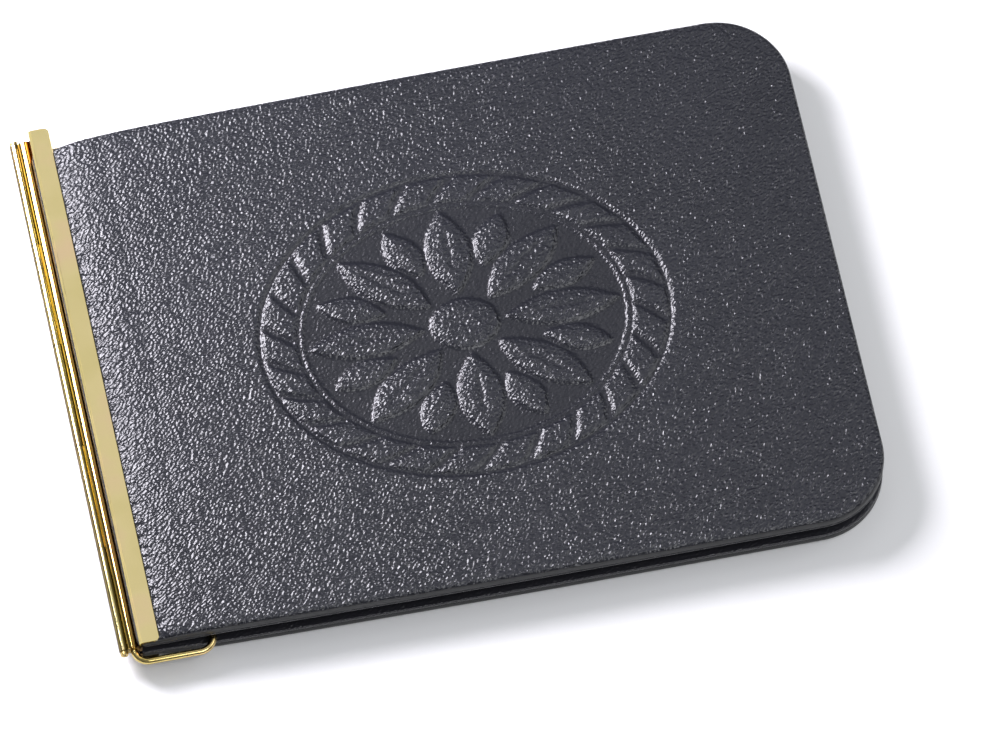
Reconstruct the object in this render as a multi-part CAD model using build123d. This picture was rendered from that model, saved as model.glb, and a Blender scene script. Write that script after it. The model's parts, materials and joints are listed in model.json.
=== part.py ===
from build123d import *
import os

os.makedirs("parts", exist_ok=True)

# Folding leather money clip, closed. Lengths are in mm.
# Working frame: the hinge pin's axis is the Y axis, +X runs from the spine to the free
# edge and +Z from the middle of the closed clip to the front cover. Each piece is moved
# to the part's own frame only when it is written, by the shift at the end.

# ---- driving dimensions ----------------------------------------------------------------
# metal spine
bar_length = 74.0  # both channel bars, along the hinge
bar_sheet = 0.35  # sheet that the bars are folded from
web_sheet = 0.30  # the same sheet, drawn thinner where it is rolled over the bail's tube
bar_half_gap = 0.40  # from the hinge plane to a bar's inner face
flange_width = 2.62  # flat strip that grips the leather
flange_bevel = 0.35  # broken outer corner between strip and back wall
flange_edge_break = 0.08  # softened lip of the outer flange
flange_corner = 0.7  # rounded ends of the strip
inner_flange_inset = 1.0  # the inner flange stops short of the strip's ends
channel_mouth = 1.6  # clear gap between the flanges, filled by the cover

# hinge
knuckle_r = 0.62
knuckle_count = 5  # odd: the rear bar has the two end knuckles
knuckle_gap = 0.10
hinge_inset = 0.5  # the webs and end knuckles stop short of the strips' ends
pin_r = 0.33
pin_head_r = 0.50
pin_head_t = 0.50
pin_head_chamfer = 0.06
pin_dimple_r = 0.18  # the ends are drilled and flared
pin_dimple_depth = 1.2

# wire bail and the tube it turns in
bail_wire_d = 0.92
bail_reach = 10.1  # pivot axis to the long run
bail_end_reach = 1.35  # the lower arm's middle stands this far outside the bars' end
bail_top_inset = 2.2  # the upper arm's middle lies this far inside the bars' other end
bail_pivot_bend = 1.7  # centreline radius where the wire leaves the tube
bail_far_bend = 2.0
bail_pintle = 8.0  # straight length inside the tube
tube_wall = 0.11

# torsion rod that springs the bail
rod_d = 0.50
rod_socket_depth = 1.5
rod_collar_length = 4.0

# crimp teeth
tooth_pitch = 1.5
tooth_width = 0.55
tooth_depth = 0.30
tooth_length = 0.40

# covers
cover_length = 94.88  # from the strip's lip to the free edge
cover_height_spine = 71.5
cover_height_free = 73.0
cover_drop = 1.0  # the covers sit this much nearer the bars' lower end
cover_corner = 9.6
leather_t = 0.95
stiffener_t = 0.50
lining_t = 0.45
leather_pinched = 0.75  # thicknesses inside the bar's channel
stiffener_pinched = 0.45
rise_length = 8.5  # over which the cover swells out of the channel
cover_lift = 0.35  # how far the lining rises above the channel's floor
stiffener_inset = 1.2

# card pocket panel on each lining
pocket_t = 0.45
pocket_start = 15.0  # from the strip's lip
pocket_inset = 1.5

# ---- clearances ------------------------------------------------------------------------
pin_fit = 0.03  # radial, pin in knuckle
pintle_fit = 0.03  # radial, bail in tube
rod_fit = 0.02  # radial, rod in pintle
knuckle_relief = 0.08  # radial, one bar's web round the other's knuckles
knuckle_to_tube = 0.06  # between the knuckles and the bail's tube
tube_to_wall = 0.02  # between the bail's tube and the outer face of the back walls
tube_relief = 0.05  # radial, front bar's web round the tube
half_plane_gap = 0.05  # each bar's web stops this far from the hinge plane
pin_end_gap = 0.05  # between the end knuckles and the pin's heads
slot_fit = 0.12  # round the upper arm where it leaves the webs

# ---- worked out from the above -----------------------------------------------------------
bail_wire_r = bail_wire_d / 2
tube_bore_r = bail_wire_r + pintle_fit
tube_r = tube_bore_r + tube_wall
bail_axis_x = knuckle_r + knuckle_to_tube + tube_r
bar_wall_x = bail_axis_x + tube_r + tube_to_wall
lip_x = bar_wall_x + flange_width
mouth_inner_z = bar_half_gap + bar_sheet
mouth_outer_z = mouth_inner_z + channel_mouth
bar_half_depth = mouth_outer_z + bar_sheet
free_edge_x = lip_x + cover_length
half_bar = bar_length / 2
half_hinge = half_bar - hinge_inset
cover_low_z = mouth_inner_z + cover_lift
stiffener_low_z = cover_low_z + lining_t
stiffener_high_z = stiffener_low_z + stiffener_t
cover_high_z = stiffener_high_z + leather_t
pinched_lining = channel_mouth - leather_pinched - stiffener_pinched
bail_far_x = bail_axis_x + bail_reach
arm_low_y = -half_bar - bail_end_reach
arm_high_y = half_bar - bail_top_inset
tube_high_y = arm_high_y - bail_pivot_bend - slot_fit
pintle_low_y = arm_low_y + bail_pivot_bend + bail_pintle
pintle_high_y = arm_high_y - bail_pivot_bend - bail_pintle


# ---- small builders ----------------------------------------------------------------------
def slab(x0, x1, y0, y1, z0, z1):
    """Box between two corners."""
    middle = Pos((x0 + x1) / 2, (y0 + y1) / 2, (z0 + z1) / 2)
    return middle * Box(x1 - x0, y1 - y0, z1 - z0)


def rod_along_y(radius, y0, y1, x=0.0):
    """Round bar parallel to the hinge."""
    return Pos(x, (y0 + y1) / 2, 0) * Rot(90, 0, 0) * Cylinder(radius, y1 - y0)


def section(points, length):
    """Extrude a closed outline, given in X and Z, evenly to both sides of Y = 0."""
    outline = Polyline(*[(x, 0, z) for x, z in points], close=True)
    return extrude(make_face(outline), amount=length / 2, dir=(0, 1, 0), both=True)


def knuckle_spans(first):
    """Y ranges of every second knuckle, starting with number first."""
    pitch = 2 * half_hinge / knuckle_count
    low = -half_hinge
    return [(low + i * pitch, low + (i + 1) * pitch) for i in range(first, knuckle_count, 2)]


# ---- the two channel bars ------------------------------------------------------------------
def bar(own_knuckles, other_knuckles, cradle_r):
    """Channel bar on the +Z side: strip, back wall, inner flange, web bump and knuckles."""
    bevel = flange_bevel
    soft = flange_edge_break
    inner_x = bar_wall_x + bar_sheet
    low = mouth_inner_z - bar_sheet
    body = section(
        [
            (bar_wall_x, low),
            (lip_x, low),
            (lip_x, mouth_inner_z),
            (inner_x, mouth_inner_z),
            (inner_x, mouth_outer_z),
            (lip_x, mouth_outer_z),
            (lip_x, bar_half_depth - soft),
            (lip_x - soft, bar_half_depth),
            (bar_wall_x + bevel, bar_half_depth),
            (bar_wall_x, bar_half_depth - bevel),
        ],
        bar_length,
    )
    ends = [e for e in body.edges().filter_by(Axis.Z) if e.center().X > lip_x - soft / 2]
    outer_ends = [e for e in ends if e.center().Z > mouth_outer_z]
    body = fillet(outer_ends, min(flange_corner, flange_width / 3))
    for side in (-1, 1):
        y0, y1 = sorted((side * (half_bar - inner_flange_inset), side * half_bar))
        body -= slab(inner_x, lip_x, y0, y1, low, mouth_inner_z)

    web_r = tube_r + tube_relief + web_sheet
    web = rod_along_y(web_r, -half_hinge, half_hinge, bail_axis_x)
    far = bail_axis_x + web_r
    body += web & slab(0, far, -half_hinge, half_hinge, half_plane_gap, web_r)
    body -= rod_along_y(cradle_r, -half_bar, half_bar, bail_axis_x)
    arm_r = bail_wire_r + slot_fit
    body -= slab(bail_axis_x, lip_x + arm_r, tube_high_y, arm_high_y + arm_r, -arm_r, arm_r)

    gap = knuckle_gap / 2
    for y0, y1 in other_knuckles:
        body -= rod_along_y(knuckle_r + knuckle_relief, y0, y1)
    for y0, y1 in own_knuckles:
        start = y0 if y0 < gap - half_hinge else y0 + gap
        end = y1 if y1 > half_hinge - gap else y1 - gap
        barrel = rod_along_y(knuckle_r, start, end)
        barrel -= rod_along_y(cradle_r, start, end, bail_axis_x)
        body += barrel
    body -= rod_along_y(pin_r + pin_fit, -half_bar, half_bar)
    return body


def teeth():
    """Row of crimp teeth under the strip's lip, on the +Z side."""
    count = int((bar_length - 2 * flange_corner - tooth_width) / tooth_pitch)
    first = -count * tooth_pitch / 2
    row = []
    for i in range(count + 1):
        y = first + i * tooth_pitch
        corners = [
            (lip_x - tooth_length, y - tooth_width / 2, mouth_outer_z),
            (lip_x - tooth_length, y + tooth_width / 2, mouth_outer_z),
            (lip_x - tooth_length, y, mouth_outer_z - tooth_depth),
        ]
        triangle = make_face(Polyline(*corners, close=True))
        row.append(extrude(triangle, amount=tooth_length, dir=(1, 0, 0)))
    return row


# ---- cover layers ----------------------------------------------------------------------------
def cover_outline(inset=0.0):
    """Plan of a cover from inside the channel to the free edge, as a tall prism."""
    x0 = bar_wall_x + bar_sheet
    x1 = free_edge_x - inset
    low0 = -cover_drop - cover_height_spine / 2 + inset
    low1 = -cover_drop - cover_height_free / 2 + inset
    high0 = -cover_drop + cover_height_spine / 2 - inset
    high1 = -cover_drop + cover_height_free / 2 - inset
    plan = make_face(Polyline((x0, low0), (x1, low1), (x1, high1), (x0, high0), close=True))
    free = [v for v in plan.vertices() if v.X > (x0 + x1) / 2]
    plan = fillet(free, cover_corner - inset)
    return extrude(plan, amount=2 * bar_half_depth + cover_high_z)


def layer(pinched_low, pinched_high, low, high, inset=0.0):
    """Sheet that is pinched in the channel and relaxes to its full place past the lip."""
    x0 = bar_wall_x + bar_sheet
    x1 = lip_x
    x2 = lip_x + rise_length
    sheet = section(
        [
            (x0, pinched_low),
            (x1, pinched_low),
            (x2, low),
            (free_edge_x, low),
            (free_edge_x, high),
            (x2, high),
            (x1, pinched_high),
            (x0, pinched_high),
        ],
        2 * cover_height_free,
    )
    return sheet & cover_outline(inset)


def cover_pieces(bar_solid):
    """Lining, stiffener, outer leather and pocket panel of the +Z cover."""
    lining_top = mouth_inner_z + pinched_lining
    board_top = lining_top + stiffener_pinched
    lining = layer(mouth_inner_z, lining_top, cover_low_z, stiffener_low_z)
    board = layer(lining_top, board_top, stiffener_low_z, stiffener_high_z, stiffener_inset)
    leather = layer(lining_top, mouth_outer_z, stiffener_low_z, cover_high_z) - board
    leather -= bar_solid
    pocket_x = lip_x + pocket_start
    half_tall = 2 * cover_height_free
    pocket = slab(pocket_x, free_edge_x, -half_tall, half_tall, cover_low_z - pocket_t, cover_low_z)
    pocket = pocket & cover_outline(pocket_inset)
    return {"lining": lining, "stiffener": board, "outer_leather": leather, "card_pocket": pocket}


# ---- bail ---------------------------------------------------------------------------------------
def bail():
    """One wire: pintle, bend, lower arm, far bend, long run and back to the upper pintle."""
    corners = [
        (bail_axis_x, pintle_low_y, 0),
        (bail_axis_x, arm_low_y, 0),
        (bail_far_x, arm_low_y, 0),
        (bail_far_x, arm_high_y, 0),
        (bail_axis_x, arm_high_y, 0),
        (bail_axis_x, pintle_high_y, 0),
    ]
    bends = [bail_pivot_bend, bail_far_bend, bail_far_bend, bail_pivot_bend]
    path = FilletPolyline(*corners, radius=bends)
    start = Plane(origin=path @ 0, z_dir=path % 0)
    wire = sweep(start * Circle(bail_wire_r), path=path)
    socket_r = rod_d / 2 + rod_fit
    wire -= rod_along_y(socket_r, pintle_low_y - rod_socket_depth, pintle_low_y, bail_axis_x)
    wire -= rod_along_y(socket_r, pintle_high_y, pintle_high_y + rod_socket_depth, bail_axis_x)
    print("bail wire length", round(path.length, 2), "mm, volume", round(wire.volume, 3), "mm3")
    return wire


def torsion_rod():
    """Spring rod between the pintles, held by a swollen collar midway."""
    reach = rod_socket_depth - pin_end_gap
    rod = rod_along_y(rod_d / 2, pintle_low_y - reach, pintle_high_y + reach, bail_axis_x)
    middle = (pintle_low_y + pintle_high_y) / 2
    half = rod_collar_length / 2
    return rod + rod_along_y(tube_bore_r, middle - half, middle + half, bail_axis_x)


def hinge_pin():
    """Full-length pin, flared over at both ends round a drilled dimple."""
    half = half_hinge + pin_end_gap
    pin = rod_along_y(pin_r, -half, half)
    for side in (-1, 1):
        y0, y1 = sorted((side * half, side * (half + pin_head_t)))
        head = rod_along_y(pin_head_r, y0, y1)
        pin += chamfer(head.edges().filter_by(GeomType.CIRCLE), pin_head_chamfer)
        y0, y1 = sorted((side * (half + pin_head_t), side * (half + pin_head_t - pin_dimple_depth)))
        pin -= rod_along_y(pin_dimple_r, y0, y1)
    return pin


# ---- assembly -----------------------------------------------------------------------------------
rear_spans = knuckle_spans(0)
front_spans = knuckle_spans(1)
front_bar = bar(front_spans, rear_spans, tube_r + tube_relief)
rear_bar = bar(rear_spans, front_spans, tube_r)
tooth_row = teeth()
front_bar += tooth_row
rear_bar += tooth_row

tube = rod_along_y(tube_r, -half_hinge, tube_high_y, bail_axis_x)
tube -= rod_along_y(tube_bore_r, -half_hinge, tube_high_y, bail_axis_x)

pieces = {
    "hinge_pin": hinge_pin(),
    "bail_tube": tube,
    "bail_torsion_rod": torsion_rod(),
    "wire_bail": bail(),
    "front_bar": front_bar,
    "rear_bar": mirror(rear_bar, about=Plane.XY),
}
for name, solid in cover_pieces(front_bar).items():
    pieces["front_" + name] = solid
for name, solid in cover_pieces(rear_bar).items():
    pieces["rear_" + name] = mirror(solid, about=Plane.XY)

# The part's origin is at the middle of its box, on the surface that it rests on.
x_low = -knuckle_r
x_high = free_edge_x
pin_reach = half_hinge + pin_end_gap + pin_head_t
cover_reach = cover_height_free / 2
y_low = -max(bail_wire_r - arm_low_y, cover_drop + cover_reach, pin_reach)
y_high = max(half_bar, pin_reach, arm_high_y + bail_wire_r)
to_part_frame = Pos(-(x_low + x_high) / 2, -(y_low + y_high) / 2, cover_high_z)

for name, solid in pieces.items():
    export_step(to_part_frame * solid, f"parts/{name}.step")
print("hinge axis at x", round(-(x_low + x_high) / 2, 4), "z", round(cover_high_z, 4))
print("bail axis at x", round(bail_axis_x - (x_low + x_high) / 2, 4))
print("bar's middle at y", round(-(y_low + y_high) / 2, 4))
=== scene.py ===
import json
import math
import bpy
import numpy as np
from mathutils import Euler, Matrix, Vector


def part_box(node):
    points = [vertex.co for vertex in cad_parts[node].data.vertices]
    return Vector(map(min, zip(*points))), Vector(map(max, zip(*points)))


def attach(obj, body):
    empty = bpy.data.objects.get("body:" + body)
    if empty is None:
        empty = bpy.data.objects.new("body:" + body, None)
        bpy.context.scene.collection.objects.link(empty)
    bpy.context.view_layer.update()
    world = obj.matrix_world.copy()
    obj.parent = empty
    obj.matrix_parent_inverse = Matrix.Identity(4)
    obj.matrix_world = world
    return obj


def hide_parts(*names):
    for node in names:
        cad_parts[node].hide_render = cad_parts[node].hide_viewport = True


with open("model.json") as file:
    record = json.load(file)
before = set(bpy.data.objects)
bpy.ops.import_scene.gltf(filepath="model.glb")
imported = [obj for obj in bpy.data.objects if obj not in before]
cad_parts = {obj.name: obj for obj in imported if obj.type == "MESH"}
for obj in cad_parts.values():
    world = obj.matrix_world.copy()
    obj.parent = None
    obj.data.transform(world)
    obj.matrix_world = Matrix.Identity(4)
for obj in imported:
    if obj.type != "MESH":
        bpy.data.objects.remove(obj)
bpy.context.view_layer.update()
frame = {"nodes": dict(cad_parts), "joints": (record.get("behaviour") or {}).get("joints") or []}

# ---- View ---------------------------------------------------------------------------------
# A long lens high above the table, turned a little, looks down on the closed clip. It stands
# about a metre and a half away, so the perspective is slight.
MM = 0.001
look_at = Vector((4.87, -6.85, 3.0)) * MM
view_azimuth = math.radians(13.97)
view_elevation = math.radians(63.29)
view_roll = math.radians(2.34)
view_distance = 1.6

gaze = Vector((
    math.sin(view_azimuth) * math.cos(view_elevation),
    math.cos(view_azimuth) * math.cos(view_elevation),
    -math.sin(view_elevation),
))
lens = bpy.data.cameras.new("product_camera")
lens.lens = 453.7
lens.sensor_width = 36.0
lens.clip_start = 0.05
lens.clip_end = 20.0
camera = bpy.data.objects.new("product_camera", lens)
camera.rotation_euler = (
    gaze.to_track_quat("-Z", "Y") @ Euler((0, 0, view_roll)).to_quaternion()
).to_euler()
camera.location = look_at - gaze * view_distance
bpy.context.collection.objects.link(camera)
bpy.context.scene.camera = camera
bpy.context.scene.view_settings.view_transform = "Standard"


# ---- Table --------------------------------------------------------------------------------
# A plain matt white paper sheet lies under the clip, as on a product photographer's table.
# It is much larger than the view, so that its edges are never seen.
def linear(hex_colour):
    """sRGB hex colour to the linear RGBA that shaders take."""
    parts = [int(hex_colour[i:i + 2], 16) / 255 for i in (1, 3, 5)]
    light = [c / 12.92 if c <= 0.04045 else ((c + 0.055) / 1.055) ** 2.4 for c in parts]
    return (*light, 1.0)


def add_node(tree, kind, settings=None, links=None):
    """Add a shader node, set its properties or sockets by name, and link its inputs."""
    node = tree.nodes.new(kind)
    for name, value in (settings or {}).items():
        if hasattr(node, name):
            setattr(node, name, value)
        else:
            node.inputs[name].default_value = value
    for name, source in (links or {}).items():
        tree.links.new(source, node.inputs[name])
    return node


def new_material(name):
    """An empty node material: its tree and its Principled shader, wired to the output."""
    material = bpy.data.materials.new(name)
    material.use_nodes = True
    tree = material.node_tree
    tree.nodes.clear()
    surface = add_node(tree, "ShaderNodeBsdfPrincipled")
    add_node(tree, "ShaderNodeOutputMaterial", links={"Surface": surface.outputs["BSDF"]})
    return material, tree, surface


sheet_half = 1.5
table_mesh = bpy.data.meshes.new("table_sheet")
sheet_corners = ((-1, -1), (1, -1), (1, 1), (-1, 1))
table_mesh.from_pydata(
    [(x * sheet_half, y * sheet_half, 0.0) for x, y in sheet_corners], [], [(0, 1, 2, 3)]
)
table = bpy.data.objects.new("table_sheet", table_mesh)
bpy.context.collection.objects.link(table)
paper, paper_tree, paper_shader = new_material("matt_white_paper")
paper_shader.inputs["Base Color"].default_value = linear("#f4f4f3")
paper_shader.inputs["Roughness"].default_value = 0.9
table_mesh.materials.append(paper)


# ---- Lamps --------------------------------------------------------------------------------
# A small soft box close by on the upper left rakes across the grain and the embossing. A low
# card lights the gold strip's bevel, a panel overhead is mirrored in the strip, two large
# boxes fill from the front and the right, and the room is dim, darkest near the floor.
def soft_box(name, place, size, power, colour):
    """Rectangular lamp at a place in metres that faces the clip."""
    lamp = bpy.data.lights.new(name, "AREA")
    lamp.shape = "RECTANGLE"
    lamp.size, lamp.size_y = size
    lamp.energy = power
    lamp.color = linear(colour)[:3]
    holder = bpy.data.objects.new(name, lamp)
    holder.location = place
    holder.rotation_euler = (-Vector(place)).to_track_quat("-Z", "Y").to_euler()
    bpy.context.collection.objects.link(holder)


soft_box("raking_key", (-0.125, 0.125, 0.150), (0.11, 0.11), 1.12, "#f8f5ff")
soft_box("low_left_card", (-0.60, 0.28, 0.09), (0.22, 0.12), 0.09, "#fffdf6")
soft_box("overhead_panel", (0.10, 0.44, 0.92), (0.5, 0.5), 0.52, "#fdfdff")
soft_box("front_fill", (0.30, -0.60, 1.10), (0.6, 0.6), 5.0, "#fbfcff")
soft_box("right_fill", (0.9, 0.0, 0.9), (0.8, 0.8), 4.0, "#fbfcff")
room = bpy.data.worlds.new("studio_room")
room.use_nodes = True
room_tree = room.node_tree
room_tree.nodes.clear()
toward = add_node(room_tree, "ShaderNodeTexCoord")
upward = add_node(
    room_tree, "ShaderNodeSeparateXYZ", links={"Vector": toward.outputs["Generated"]}
)
walls = add_node(room_tree, "ShaderNodeValToRGB", links={"Fac": upward.outputs["Z"]})
walls.color_ramp.elements[0].position = 0.05
walls.color_ramp.elements[0].color = linear("#26241f")
walls.color_ramp.elements[1].position = 0.75
walls.color_ramp.elements[1].color = linear("#8a8c92")
backdrop = add_node(room_tree, "ShaderNodeBackground", links={"Color": walls.outputs["Color"]})
add_node(room_tree, "ShaderNodeOutputWorld", links={"Surface": backdrop.outputs["Background"]})
bpy.context.scene.world = room


# ---- Front and rear outer leather -----------------------------------------------------------
# Tanned hide, drum dyed charcoal and plated with a fine pebble grain. Each piece is pinched
# into its bar, swells out of the channel and is glued down over its board. The front one is
# blind embossed with a rosette in a rope ring, and the cut edges are painted.
hinge = Vector(frame["joints"][0]["pos_m"])
bar_low, bar_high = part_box("front_bar")
hide_low, hide_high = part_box("front_outer_leather")
lining_low, lining_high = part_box("front_lining")
board_low, board_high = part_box("front_stiffener")
lip_x = (bar_high[0] - hinge.x) / MM
bar_mid_y = (bar_low[1] + bar_high[1]) / 2 / MM
channel_x = (hide_low[0] - hinge.x) / MM
free_x = (hide_high[0] - hinge.x) / MM
cover_mid_y = (hide_low[1] + hide_high[1]) / 2 / MM
cover_tall = (hide_high[1] - hide_low[1]) / MM
spine_tall = 71.5
corner_r = 9.6
long_edge_bow = 0.22
top_corner_pull = 0.8
corner_pull_fade = 4.0
hide_top = (hide_high[2] - hinge.z) / MM
hide_rim_low = (lining_high[2] - hinge.z) / MM
board_top = (board_high[2] - hinge.z) / MM
mouth_top = hide_top - 0.65
rim_pinch = 0.40
board_pinch = 0.45
swell_length = 8.5
tooth_pitch = 1.5


def step_up(t):
    """Smooth step from 0 to 1."""
    t = np.clip(t, 0.0, 1.0)
    return t * t * t * (t * (6 * t - 15) + 10)


def cover_half(x):
    """Half height of a cover at x mm from the hinge, before its free corners."""
    t = (x - channel_x) / (free_x - corner_r - channel_x)
    tall = spine_tall + (cover_tall - spine_tall) * np.minimum(t, 1.0)
    bow = long_edge_bow * np.sin(math.pi * np.clip(t, 0, 1))
    return tall / 2 + bow


def plan_columns(start, inset, pitch):
    """Columns of a cover's plan in mm: x and half height, close together round the corners."""
    radius = corner_r - inset
    turn = free_x - corner_r
    straight = np.linspace(start, turn, max(3, round((turn - start) / pitch)) + 1)
    angle = np.linspace(0, math.pi / 2, max(8, round(radius * math.pi / 2 / pitch)) + 1)[1:]
    x = np.concatenate([straight, turn + radius * np.sin(angle)])
    level = cover_half(turn) - inset
    half = np.concatenate([cover_half(straight) - inset, level - radius * (1 - np.cos(angle))])
    return x, half


def to_frame(x, y, w, side):
    """Hinge-centred mm, w up from the hinge plane on its own side, to frame metres."""
    return np.stack([hinge.x + x * MM, y * MM, hinge.z + side * w * MM], axis=-1)


def sheet_mesh(name, side, facing, start, inset, pitch, rows, face_w, rings):
    """Closed sheet in a cover's plan. A grid carries the seen face, at height face_w(x, y).
    Each ring is (outward mm, height function of x, y and the face's height at its edge)."""
    xs, half = plan_columns(start, inset, pitch)
    columns = len(xs)
    v = np.linspace(-1, 1, rows + 1)
    gx = np.repeat(xs[:, None], rows + 1, axis=1)
    gy = cover_mid_y + half[:, None] * v[None, :]
    pull = top_corner_pull * np.exp(-np.maximum(gx - lip_x, 0) / corner_pull_fade)
    gy = gy - pull * (v[None, :] + 1) / 2
    gw = face_w(gx, gy)
    index = np.arange(columns * (rows + 1)).reshape(columns, rows + 1)
    loop = np.concatenate([index[:-1, 0], index[-1, :-1], index[:0:-1, -1], index[0, :0:-1]])
    bx, by, bw = gx.ravel()[loop], gy.ravel()[loop], gw.ravel()[loop]
    tx = np.roll(bx, -1) - np.roll(bx, 1)
    ty = np.roll(by, -1) - np.roll(by, 1)
    size = np.hypot(tx, ty)
    nx, ny = ty / size, -tx / size
    points = [to_frame(gx, gy, gw, side).reshape(-1, 3)]
    cells = [index[:-1, :-1], index[1:, :-1], index[1:, 1:], index[:-1, 1:]]
    faces = np.stack(cells, -1).reshape(-1, 4).tolist()
    face_groups = [len(faces)]
    ring = loop
    total = index.size
    for outward, height in rings:
        rx, ry = bx + nx * outward, by + ny * outward
        points.append(to_frame(rx, ry, height(rx, ry, bw), side))
        inner, ring = ring, total + np.arange(len(loop))
        total += len(loop)
        faces += np.stack([inner, ring, np.roll(ring, -1), np.roll(inner, -1)], -1).tolist()
        face_groups.append(len(faces))
    low = ring[:columns]
    high = ring[columns - 1 + rows:2 * columns - 1 + rows][::-1]
    spine = ring[2 * columns - 2 + rows:][::-1]
    free = ring[columns - 1:columns + rows][::-1]
    faces += [[low[i], high[i], high[i + 1], low[i + 1]] for i in range(1, columns - 2)]
    faces.append([low[1], low[0], *spine, high[1]])
    faces.append([low[-2], high[-2], *free])
    faces = [[int(k) for k in f] for f in faces]
    if side * facing < 0:
        faces = [f[::-1] for f in faces]
    mesh = bpy.data.meshes.new(name)
    mesh.from_pydata(np.concatenate(points).tolist(), [], faces)
    mesh.update()
    mesh.polygons.foreach_set("use_smooth", [True] * len(mesh.polygons))
    piece = bpy.data.objects.new(name, mesh)
    bpy.context.collection.objects.link(piece)
    return piece, face_groups, gx, gy


def rounded_edge(radius, foot, low_w):
    """Rings of a rounded seen edge, a straight wall and a smaller rounded foot."""
    rings = []
    for k in range(1, 6):
        a = math.pi / 2 * k / 5
        out, drop = radius * math.sin(a), radius * (1 - math.cos(a))
        rings.append((out, lambda x, y, w, d=drop: w - d))
    for k in range(4):
        a = math.pi / 2 * k / 3
        out, rise = radius - foot * (1 - math.cos(a)), foot * (1 - math.sin(a))
        rings.append((out, lambda x, y, w, r=rise: low_w(x) + r))
    return rings


def along_swell(x, pinched, full):
    """Height that runs straight from its pinched value at the lip to its full one."""
    return pinched + (full - pinched) * np.clip((x - lip_x) / swell_length, 0, 1)


def hide_low_w(x):
    return along_swell(x, hide_rim_low - rim_pinch, hide_rim_low)


def board_top_w(x):
    return along_swell(x, board_top - board_pinch, board_top)


# The embossed rosette, in mm from its centre: a rope ring, eight long and eight short petals
# and a button stand up from a ground that the die pressed down.
rosette_x = lip_x + 46.6
rosette_y = cover_mid_y
rosette_stretch = 1.24
ring_outer_r = 21.2
ring_inner_r = 17.2
ground_depth = 0.34
line_depth = 0.28
line_half = 0.50
vein_depth = 0.12
rope_dome = 0.10
petal_puff = 0.12
button_r = 3.3
strand_count = 26


def pressed_line(distance, half_width):
    """1 in the middle of a pressed line, 0 past its edge."""
    return 1 - step_up(np.abs(distance) / half_width)


def petal_distance(r, angle, first, last, swell, turn):
    """About how far a point lies outside the nearest of eight petals; negative inside."""
    sector = math.pi / 4
    local = (angle - turn + sector / 2) % sector - sector / 2
    along, across = r * np.cos(local), r * np.sin(local)
    t = (along - (first + last) / 2) / ((last - first) / 2)
    return np.abs(across) - swell * (1 - t * t)


def rosette(x, y):
    """Height change in mm, and how strongly the die pressed, from 0 to 1."""
    u, v = (x - rosette_x) / rosette_stretch, y - rosette_y
    r, angle = np.hypot(u, v), np.arctan2(v, u)
    long_petal = petal_distance(r, angle, 4.6, 15.9, 2.1, 0.0)
    short_petal = petal_distance(r, angle, 8.6, 15.4, 1.5, math.pi / 8)
    button = r - button_r
    raised = np.minimum(np.minimum(long_petal, short_petal), button)
    ground = step_up((raised + 0.05) / 0.45) * step_up((ring_inner_r - 0.2 - r) / 0.5)
    vein = pressed_line(petal_distance(r, angle, 7.0, 14.0, 0.0, 0.0), 0.45)
    vein = vein * step_up((r - 7.0) / 1.5) * step_up((14.0 - r) / 1.5)
    lines = np.maximum(
        pressed_line(r - ring_outer_r, line_half), pressed_line(r - ring_inner_r, line_half)
    )
    strand = np.sin(strand_count * angle + 1.1 * (r - ring_inner_r))
    in_rope = step_up((r - ring_inner_r) / 0.7) * step_up((ring_outer_r - r) / 0.7)
    rope = pressed_line(strand + 1, 0.55) * in_rope
    off_rope = (r - (ring_inner_r + ring_outer_r) / 2) / 2.0
    dome = rope_dome * in_rope * (1 - off_rope ** 2)
    puff = petal_puff * step_up(-raised / 1.3)
    pressed = np.maximum.reduce([ground, lines, rope * 0.9, vein * 0.6])
    sunk = ground_depth * ground + line_depth * np.maximum(lines, rope) + vein_depth * vein
    return dome + puff - sunk, pressed


swell_rate = 3.4
pucker_depth = 0.10
crease_depth = 0.05
crease_from_lip = 6.2
wave_depth = 0.035
edge_press = 0.07


def hide_face(x, y):
    """Seen face of a hide before embossing: the swell, tooth puckers, a crease and waves."""
    past = np.maximum(x - lip_x, 0)
    swell = 1 - np.exp(-swell_rate * past / swell_length)
    swell = swell / (1 - math.exp(-swell_rate * (free_x - lip_x) / swell_length))
    w = mouth_top + (hide_top - mouth_top) * swell
    near_lip = np.exp(-past / 0.8) * np.minimum(past / 0.05, 1)
    w = w - pucker_depth * near_lip * np.cos(2 * math.pi * (y - bar_mid_y) / tooth_pitch)
    off_crease = (past - crease_from_lip - 0.4 * np.sin(y / 9)) / 0.9
    w = w - crease_depth * np.exp(-off_crease ** 2)
    waves = np.sin(x / 11 + 0.9) * np.sin(y / 8.5 + 0.4) + 0.5 * np.sin(x / 4.7 - y / 6.1)
    w = w - wave_depth * (1 + waves / 1.5) * np.minimum(past / 6, 1)
    inside = cover_half(x) - np.abs(y - cover_mid_y)
    return w - edge_press * (1 - step_up((inside - 0.2) / 1.1))


def embossed_face(x, y):
    return hide_face(x, y) + rosette(x, y)[0]


grain_slant = 38.0
grain_stretch = 1.45
drift_mm = 0.5


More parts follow.
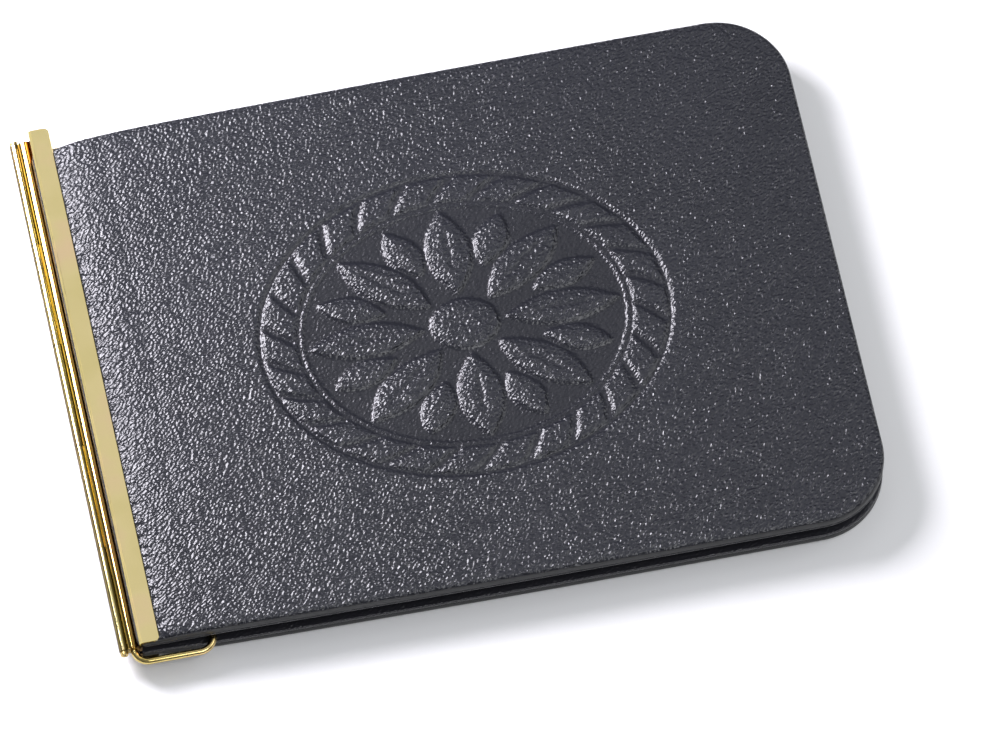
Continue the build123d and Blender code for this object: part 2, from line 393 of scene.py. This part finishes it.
def leather_material(name, dark, light, grain_mm, grain_depth):
    """Grained hide: long pebbles along one slant, softened where the die pressed it."""
    material, tree, surface = new_material(name)
    where = add_node(tree, "ShaderNodeTexCoord")
    pressed = add_node(tree, "ShaderNodeAttribute", {"attribute_name": "pressed"})
    drift = add_node(
        tree, "ShaderNodeTexNoise", {"Scale": 190.0, "Detail": 1.0},
        {"Vector": where.outputs["Object"]},
    )
    shift = add_node(
        tree, "ShaderNodeVectorMath", {"operation": "MULTIPLY_ADD"},
        {0: drift.outputs["Color"], 2: where.outputs["Object"]},
    )
    shift.inputs[1].default_value = (drift_mm * MM, drift_mm * MM, 0.0)
    slant = add_node(
        tree, "ShaderNodeMapping",
        {"vector_type": "TEXTURE", "Rotation": (0, 0, math.radians(grain_slant))},
        {"Vector": shift.outputs["Vector"]},
    )
    pebble = grain_mm * MM
    slant.inputs["Scale"].default_value = (grain_stretch * pebble, pebble, pebble)
    pebbles = add_node(
        tree, "ShaderNodeTexNoise", {"Scale": 1.0, "Detail": 0.4, "Roughness": 0.4},
        {"Vector": slant.outputs["Vector"]},
    )
    pores = add_node(
        tree, "ShaderNodeTexVoronoi", {"feature": "F1", "Scale": 0.8},
        {"Vector": slant.outputs["Vector"]},
    )
    height = add_node(
        tree, "ShaderNodeMath", {"operation": "MULTIPLY_ADD"},
        {0: pores.outputs["Distance"], 2: pebbles.outputs["Fac"]},
    )
    height.inputs[1].default_value = -0.30
    kept = add_node(
        tree, "ShaderNodeMapRange", {"To Min": 1.0, "To Max": 0.5},
        {"Value": pressed.outputs["Fac"]},
    )
    grain = add_node(
        tree, "ShaderNodeBump", {"Distance": grain_depth * MM},
        {"Height": height.outputs["Value"], "Strength": kept.outputs["Result"]},
    )
    cloud = add_node(
        tree, "ShaderNodeTexNoise", {"Scale": 60.0, "Detail": 3.0},
        {"Vector": where.outputs["Object"]},
    )
    tone = add_node(
        tree, "ShaderNodeMix", {"data_type": "RGBA"}, {"Factor": cloud.outputs["Fac"]},
    )
    tone.inputs["A"].default_value = linear(dark)
    tone.inputs["B"].default_value = linear(light)
    pressed_tone = add_node(
        tree, "ShaderNodeMix", {"data_type": "RGBA", "blend_type": "MULTIPLY"},
        {"A": tone.outputs["Result"], "Factor": pressed.outputs["Fac"]},
    )
    pressed_tone.inputs["B"].default_value = linear("#dcdce0")
    shine = add_node(
        tree, "ShaderNodeMapRange", {"To Min": 0.22, "To Max": 0.30},
        {"Value": cloud.outputs["Fac"]},
    )
    tree.links.new(pressed_tone.outputs["Result"], surface.inputs["Base Color"])
    tree.links.new(shine.outputs["Result"], surface.inputs["Roughness"])
    tree.links.new(grain.outputs["Normal"], surface.inputs["Normal"])
    surface.inputs["IOR"].default_value = 1.5
    return material


hide_leather = leather_material("grained_charcoal_hide", "#1c1d22", "#23242a", 0.31, 0.17)
edge_paint, paint_tree, paint_surface = new_material("edge_paint_charcoal")
paint_where = add_node(paint_tree, "ShaderNodeTexCoord")
paint_noise = add_node(
    paint_tree, "ShaderNodeTexNoise", {"Scale": 900.0, "Detail": 3.0},
    {"Vector": paint_where.outputs["Object"]},
)
paint_bump = add_node(
    paint_tree, "ShaderNodeBump", {"Distance": 0.03 * MM}, {"Height": paint_noise.outputs["Fac"]},
)
paint_surface.inputs["Base Color"].default_value = linear("#151618")
paint_surface.inputs["Roughness"].default_value = 0.42
paint_tree.links.new(paint_bump.outputs["Normal"], paint_surface.inputs["Normal"])

hide_edge_r = 0.55
hide_foot_r = 0.12
board_inset = 1.3
hide_rings = rounded_edge(hide_edge_r, hide_foot_r, hide_low_w)
hide_rings.append((hide_edge_r - board_inset, lambda x, y, w: hide_low_w(x)))
hide_rings.append((hide_edge_r - board_inset, lambda x, y, w: board_top_w(x)))
edge_ring = 3  # paint starts below this ring of the rounded edge
for side, end, pitch, rows, face in (
    (1, "front", 0.27, 262, embossed_face),
    (-1, "rear", 0.6, 120, hide_face),
):
    hide, groups, gx, gy = sheet_mesh(
        end + "_grained_hide", side, 1, channel_x, hide_edge_r, pitch, rows, face, hide_rings
    )
    hide.data.materials.append(hide_leather)
    hide.data.materials.append(edge_paint)
    index = np.zeros(len(hide.data.polygons), dtype=np.int32)
    index[groups[edge_ring]:] = 1
    hide.data.polygons.foreach_set("material_index", index)
    if side > 0:
        depth = np.zeros(len(hide.data.vertices), dtype=np.float32)
        depth[:gx.size] = rosette(gx, gy)[1].ravel()
        layer = hide.data.attributes.new("pressed", "FLOAT", "POINT")
        layer.data.foreach_set("value", depth)
    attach(hide, end + "_cover")
    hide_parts(end + "_outer_leather")


# ---- Linings and card pockets --------------------------------------------------------------
# Thin smooth lining leather is glued to each board's inner face. A pocket panel with a turned
# open edge towards the spine is stitched to it on its other three sides.
lining_low_w = (lining_low[2] - hinge.z) / MM
lining_leather = leather_material("smooth_lining_leather", "#222226", "#29292e", 0.30, 0.08)
lining_edge_r = 0.12
lining_pinched = 0.40
pocket_low, pocket_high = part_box("front_card_pocket")
pocket_x = (pocket_low[0] - hinge.x) / MM
pocket_face_w = (pocket_low[2] - hinge.z) / MM
lining_flat_w = (pocket_high[2] - hinge.z) / MM
pocket_inset = 1.5
pocket_edge_r = 0.15


def lining_face(x, y):
    return along_swell(x, lining_low_w, lining_flat_w)


def lining_back(x):
    return along_swell(x, lining_low_w + lining_pinched, hide_rim_low)


def pocket_face(x, y):
    """The panel bellies a little, and is a fold thicker along its open edge."""
    from_mouth, from_free = x - pocket_x, free_x - pocket_inset - x
    inside_x = np.clip(from_mouth / 12, 0, 1) * np.clip(from_free / 12, 0, 1)
    inside_y = np.clip((cover_half(x) - pocket_inset - np.abs(y - cover_mid_y)) / 10, 0, 1)
    belly = step_up(inside_x) * step_up(inside_y)
    fold = 1 - step_up((from_mouth - 6.0) / 0.8)
    crease = pressed_line(from_mouth - 1.3, 0.35)
    return pocket_face_w - 0.10 * belly - 0.08 * fold + 0.06 * crease


def inner_edge(radius, back_w):
    """Rings of a sheet whose seen face looks into the gap between the covers."""
    rings = []
    for k in range(1, 5):
        a = math.pi / 2 * k / 4
        out, drop = radius * math.sin(a), radius * (1 - math.cos(a))
        rings.append((out, lambda x, y, w, d=drop: w + d))
    rings.append((radius, lambda x, y, w: back_w(x)))
    return rings


for side, end in ((1, "front"), (-1, "rear")):
    lining = sheet_mesh(
        end + "_lining_sheet", side, -1, channel_x, lining_edge_r, 1.0, 60, lining_face,
        inner_edge(lining_edge_r, lining_back),
    )[0]
    lining.data.materials.append(lining_leather)
    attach(lining, end + "_cover")
    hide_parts(end + "_lining")
    pocket = sheet_mesh(
        end + "_pocket_panel", side, -1, pocket_x + pocket_edge_r, pocket_inset + pocket_edge_r,
        0.4, 130, pocket_face, inner_edge(pocket_edge_r, lambda x: np.full_like(x, lining_flat_w)),
    )[0]
    pocket.data.materials.append(lining_leather)
    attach(pocket, end + "_cover")
    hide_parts(end + "_card_pocket")


# ---- Pocket stitching ----------------------------------------------------------------------
# A lockstitch in waxed black thread goes round the three closed sides of each pocket panel.
# Every stitch is its own bead of thread, sunk at both ends where it goes through the leather.
thread, thread_tree, thread_surface = new_material("waxed_black_thread")
thread_where = add_node(thread_tree, "ShaderNodeTexCoord")
thread_noise = add_node(
    thread_tree, "ShaderNodeTexNoise", {"Scale": 2500.0, "Detail": 2.0},
    {"Vector": thread_where.outputs["Object"]},
)
thread_tone = add_node(
    thread_tree, "ShaderNodeValToRGB", links={"Fac": thread_noise.outputs["Fac"]}
)
thread_tone.color_ramp.elements[0].color = linear("#151517")
thread_tone.color_ramp.elements[1].color = linear("#35343a")
thread_tree.links.new(thread_tone.outputs["Color"], thread_surface.inputs["Base Color"])
thread_surface.inputs["Roughness"].default_value = 0.55
stitch_pitch = 2.6
stitch_length = 2.0
thread_r = 0.17
thread_sunk = 0.12
thread_proud = 0.06
stitch_inset = pocket_inset + 1.1
stitch_sides = 8


def stitch_route():
    """Points round the three closed sides of a pocket, low side first."""
    turn_r = corner_r - stitch_inset
    end_x = free_x - stitch_inset
    run = np.linspace(pocket_x + 1.6, end_x - turn_r, 40)
    low = np.stack([run, cover_mid_y - cover_half(run) + stitch_inset], -1)
    a = np.linspace(-math.pi / 2, 0, 24)
    centre_y = low[-1, 1] + turn_r
    corner = np.stack([end_x - turn_r + turn_r * np.cos(a), centre_y + turn_r * np.sin(a)], -1)
    half_route = np.concatenate([low, corner[1:]])
    other = half_route[::-1].copy()
    other[:, 1] = 2 * cover_mid_y - other[:, 1]
    return np.concatenate([half_route, other])


def stitches(side):
    """All stitches of one pocket as one mesh's points and faces."""
    route = stitch_route()
    steps = np.hypot(*np.diff(route, axis=0).T)
    far = np.concatenate([[0], np.cumsum(steps)])
    count = int(far[-1] / stitch_pitch)
    points, faces = [], []
    for k in range(count):
        along = np.linspace(-0.5, 0.5, 7) * stitch_length
        s = (k + 0.5) * far[-1] / count + along
        x, y = np.interp(s, far, route[:, 0]), np.interp(s, far, route[:, 1])
        t = np.array([x[-1] - x[0], y[-1] - y[0]])
        nx, ny = t[1] / np.hypot(*t), -t[0] / np.hypot(*t)
        bulge = 1 - (along / (0.5 * stitch_length)) ** 4
        start = len(points)
        for i in range(len(s)):
            r = thread_r * (0.45 + 0.55 * bulge[i])
            lift = thread_proud * bulge[i] - thread_sunk * (1 - bulge[i])
            middle = pocket_face(x[i], y[i]) - lift
            for j in range(stitch_sides):
                a = 2 * math.pi * j / stitch_sides
                across, up = r * math.cos(a), r * math.sin(a)
                at_x, at_y = x[i] + across * nx, y[i] + across * ny
                points.append(to_frame(at_x, at_y, middle + up, side))
        for i in range(len(s) - 1):
            for j in range(stitch_sides):
                row = start + i * stitch_sides
                p, q = row + j, row + (j + 1) % stitch_sides
                faces.append((p, p + stitch_sides, q + stitch_sides, q))
        faces.append(tuple(range(start, start + stitch_sides)))
        faces.append(tuple(range(len(points) - 1, len(points) - 1 - stitch_sides, -1)))
    if side < 0:
        faces = [f[::-1] for f in faces]
    return [tuple(p) for p in points], faces


for side, end in ((1, "front"), (-1, "rear")):
    name = end + "_pocket_stitching"
    stitch_points, stitch_faces = stitches(side)
    stitch_mesh = bpy.data.meshes.new(name)
    stitch_mesh.from_pydata(stitch_points, [], stitch_faces)
    stitch_mesh.update()
    stitch_mesh.polygons.foreach_set("use_smooth", [True] * len(stitch_faces))
    stitch_mesh.materials.append(thread)
    seam = bpy.data.objects.new(name, stitch_mesh)
    bpy.context.collection.objects.link(seam)
    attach(seam, end + "_cover")


# ---- Bars and hinge pin --------------------------------------------------------------------
# Two channel bars folded from brass strip, gold plated and lacquered, hooked together by
# rolled knuckles. A full-length pin, drilled and flared at its ends, holds the knuckles.
def plated_metal(name, colours, roughness, draw_scale):
    """Gold plate over drawn metal: long faint draw lines along the hinge, slow tone drift."""
    material, tree, surface = new_material(name)
    where = add_node(tree, "ShaderNodeTexCoord")
    along = add_node(
        tree, "ShaderNodeMapping", {"vector_type": "TEXTURE"},
        {"Vector": where.outputs["Object"]},
    )
    along.inputs["Scale"].default_value = tuple(c * MM for c in draw_scale)
    lines = add_node(
        tree, "ShaderNodeTexNoise", {"Scale": 1.0, "Detail": 2.0},
        {"Vector": along.outputs["Vector"]},
    )
    drift = add_node(
        tree, "ShaderNodeTexNoise", {"Scale": 130.0, "Detail": 2.0},
        {"Vector": where.outputs["Object"]},
    )
    tone = add_node(tree, "ShaderNodeValToRGB", links={"Fac": drift.outputs["Fac"]})
    tone.color_ramp.elements[0].position = 0.34
    tone.color_ramp.elements[1].position = 0.66
    tone.color_ramp.elements.new(0.5)
    for element, colour in zip(tone.color_ramp.elements, colours):
        element.color = linear(colour)
    spread = 0.03
    dull = add_node(
        tree, "ShaderNodeMapRange", {"To Min": roughness - spread, "To Max": roughness + spread},
        {"Value": lines.outputs["Fac"]},
    )
    drawn = add_node(
        tree, "ShaderNodeBump", {"Distance": 0.006 * MM}, {"Height": lines.outputs["Fac"]},
    )
    surface.inputs["Metallic"].default_value = 1.0
    tree.links.new(tone.outputs["Color"], surface.inputs["Base Color"])
    tree.links.new(dull.outputs["Result"], surface.inputs["Roughness"])
    tree.links.new(drawn.outputs["Normal"], surface.inputs["Normal"])
    return material


def paint_seam_shade(material, stops):
    """Painted shade across the hinge: stops give mm from the pin's axis and a colour."""
    tree = material.node_tree
    surface = tree.nodes["Principled BSDF"]
    plain = surface.inputs["Base Color"].links[0].from_socket
    where = add_node(tree, "ShaderNodeTexCoord")
    split = add_node(tree, "ShaderNodeSeparateXYZ", links={"Vector": where.outputs["Object"]})
    first, last = stops[0][0], stops[-1][0]
    across = add_node(
        tree, "ShaderNodeMapRange",
        {"From Min": hinge.x + first * MM, "From Max": hinge.x + last * MM},
        {"Value": split.outputs["X"]},
    )
    seam_shade_ramp = add_node(tree, "ShaderNodeValToRGB", links={"Fac": across.outputs["Result"]})
    elements = seam_shade_ramp.color_ramp.elements
    elements[0].color = linear(stops[0][1])
    elements[-1].color = linear(stops[-1][1])
    for place, colour in stops[1:-1]:
        elements.new((place - first) / (last - first)).color = linear(colour)
    both = add_node(tree, "ShaderNodeMix", {"data_type": "RGBA", "blend_type": "MULTIPLY"})
    height = add_node(
        tree, "ShaderNodeMath", {"operation": "SUBTRACT"}, {0: split.outputs["Z"]},
    )
    height.inputs[1].default_value = hinge.z
    off_middle = add_node(
        tree, "ShaderNodeMath", {"operation": "ABSOLUTE"}, {0: height.outputs["Value"]},
    )
    # The painted shade is only applied near the pin's axis height; it fades out from 1.6 to 2.1 mm
    # above or below it.
    sunk = add_node(
        tree, "ShaderNodeMapRange",
        {"From Min": 1.6 * MM, "From Max": 2.1 * MM, "To Min": 1.0, "To Max": 0.0},
        {"Value": off_middle.outputs["Value"]},
    )
    tree.links.new(sunk.outputs["Result"], both.inputs["Factor"])
    tree.links.new(plain, both.inputs["A"])
    tree.links.new(seam_shade_ramp.outputs["Color"], both.inputs["B"])
    tree.links.new(both.outputs["Result"], surface.inputs["Base Color"])


def coat(names, material):
    """Put one material on CAD nodes."""
    for name in names:
        slots = frame["nodes"][name].data.materials
        slots.clear()
        slots.append(material)


gold_plate = plated_metal(
    "gold_plated_brass", ("#d6c68a", "#dccb92", "#e0c69a"), 0.09, (0.12, 9.0, 0.12),
)
# These stops paint light and shade: dark on the knuckles' left flank, olive painted reflections
# over their right flank and the valley, a lighter peach line painted as a highlight on the ridge
# at 1 mm, and brown painted shade beside the strip.
paint_seam_shade(gold_plate, (
    (-0.62, "#4a4230"), (-0.50, "#6a5e40"), (-0.36, "#ffffff"), (-0.05, "#ffffff"),
    (0.10, "#b4b094"), (0.50, "#a49c6c"), (0.80, "#b4a884"), (1.00, "#ffe8c8"),
    (1.20, "#b0986c"), (1.75, "#7a5f34"),
))
coat(("front_bar", "rear_bar"), gold_plate)
pin_brass = plated_metal(
    "brass_pin_end", ("#b49a5c", "#c0a868", "#c8b078"), 0.28, (0.1, 4.0, 0.1),
)
coat(("hinge_pin",), pin_brass)


# ---- Bail and its spring -------------------------------------------------------------------
# One gold-plated steel wire bent to a long U; its ends turn in a thin brass tube beside the
# pin. A spring-steel rod in the tube pushes the wire against the notes.
tube_brass = plated_metal(
    "plain_brass_tube", ("#b08f4a", "#b8964e", "#c09e58"), 0.30, (0.1, 6.0, 0.1),
)
coat(("bail_tube",), tube_brass)
spring_steel = plated_metal(
    "blued_spring_steel", ("#3c4048", "#464a54", "#50545c"), 0.32, (0.08, 5.0, 0.08),
)
coat(("bail_torsion_rod",), spring_steel)
wire_plate = plated_metal(
    "gold_plated_wire", ("#c4b06c", "#cdb978", "#d2b884"), 0.20, (4.0, 4.0, 4.0),
)
bail_low, bail_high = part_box("wire_bail")
wire_r = (bail_high[2] - bail_low[2]) / 2 / MM
tube_box_low, tube_box_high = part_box("bail_tube")
arm_x = ((tube_box_low[0] + tube_box_high[0]) / 2 - hinge.x) / MM
far_x = (bail_high[0] - hinge.x) / MM - wire_r
low_arm_y = bail_low[1] / MM + wire_r
high_arm_y = bail_high[1] / MM - wire_r
pivot_bend = 1.7
far_bend = 2.0
pintle = 8.0
socket_r = 0.27
socket_depth = 1.5


def quarter_turn(centre_x, centre_y, radius, first):
    """Stations round a bend: X, Y, heading in degrees and the wire's radius."""
    steps = 16
    turns = [first + 90 * k / steps for k in range(steps + 1)]
    return [
        (
            centre_x + radius * math.cos(math.radians(t)),
            centre_y + radius * math.sin(math.radians(t)), t + 90, wire_r,
        )
        for t in turns
    ]


def round_bar(stations, around=32):
    """Points and faces of a round bar through flat stations, closed at both ends."""
    points = []
    for x, y, heading, radius in stations:
        nx, ny = math.sin(math.radians(heading)), -math.cos(math.radians(heading))
        for j in range(around):
            a = 2 * math.pi * j / around
            c, w = radius * math.cos(a), radius * math.sin(a)
            points.append((hinge.x + (x + c * nx) * MM, (y + c * ny) * MM, hinge.z + w * MM))
    last = (len(stations) - 1) * around
    faces = [
        (k + j, k + j + around, k + (j + 1) % around + around, k + (j + 1) % around)
        for k in range(0, last, around)
        for j in range(around)
    ]
    faces.append(tuple(range(around)))
    faces.append(tuple(range(last + around - 1, last - 1, -1)))
    return points, faces


low_end_y = low_arm_y + pivot_bend + pintle
high_end_y = high_arm_y - pivot_bend - pintle
wire_stations = [
    (arm_x, low_end_y - socket_depth, 270, socket_r),
    (arm_x, low_end_y, 270, socket_r),
    (arm_x, low_end_y, 270, wire_r),
    *quarter_turn(arm_x + pivot_bend, low_arm_y + pivot_bend, pivot_bend, 180),
    *quarter_turn(far_x - far_bend, low_arm_y + far_bend, far_bend, 270),
    *quarter_turn(far_x - far_bend, high_arm_y - far_bend, far_bend, 0),
    *quarter_turn(arm_x + pivot_bend, high_arm_y - pivot_bend, pivot_bend, 90),
    (arm_x, high_end_y, 270, wire_r),
    (arm_x, high_end_y, 270, socket_r),
    (arm_x, high_end_y + socket_depth, 270, socket_r),
]
wire_points, wire_faces = round_bar(wire_stations)
wire_mesh = bpy.data.meshes.new("bent_wire")
wire_mesh.from_pydata(wire_points, [], wire_faces)
wire_mesh.update()
wire_mesh.polygons.foreach_set("use_smooth", [len(f) == 4 for f in wire_faces])
wire_mesh.materials.append(wire_plate)
bent_wire = bpy.data.objects.new("bent_wire", wire_mesh)
bpy.context.collection.objects.link(bent_wire)
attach(bent_wire, "bail")
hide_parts("wire_bail")


# ---- Boards --------------------------------------------------------------------------------
# Grey-brown pressed fibre board stiffens each cover. It is die cut, glued between the hide and
# the lining, and gripped with them in the bar.
board_fibre, board_tree, board_surface = new_material("pressed_fibre_board")
board_where = add_node(board_tree, "ShaderNodeTexCoord")
fibres = add_node(
    board_tree, "ShaderNodeTexNoise", {"Scale": 1400.0, "Detail": 4.0},
    {"Vector": board_where.outputs["Object"]},
)
board_tone = add_node(board_tree, "ShaderNodeValToRGB", links={"Fac": fibres.outputs["Fac"]})
board_tone.color_ramp.elements[0].color = linear("#4e4638")
board_tone.color_ramp.elements[1].color = linear("#75695a")
board_tree.links.new(board_tone.outputs["Color"], board_surface.inputs["Base Color"])
board_surface.inputs["Roughness"].default_value = 0.9
coat(("front_stiffener", "rear_stiffener"), board_fibre)
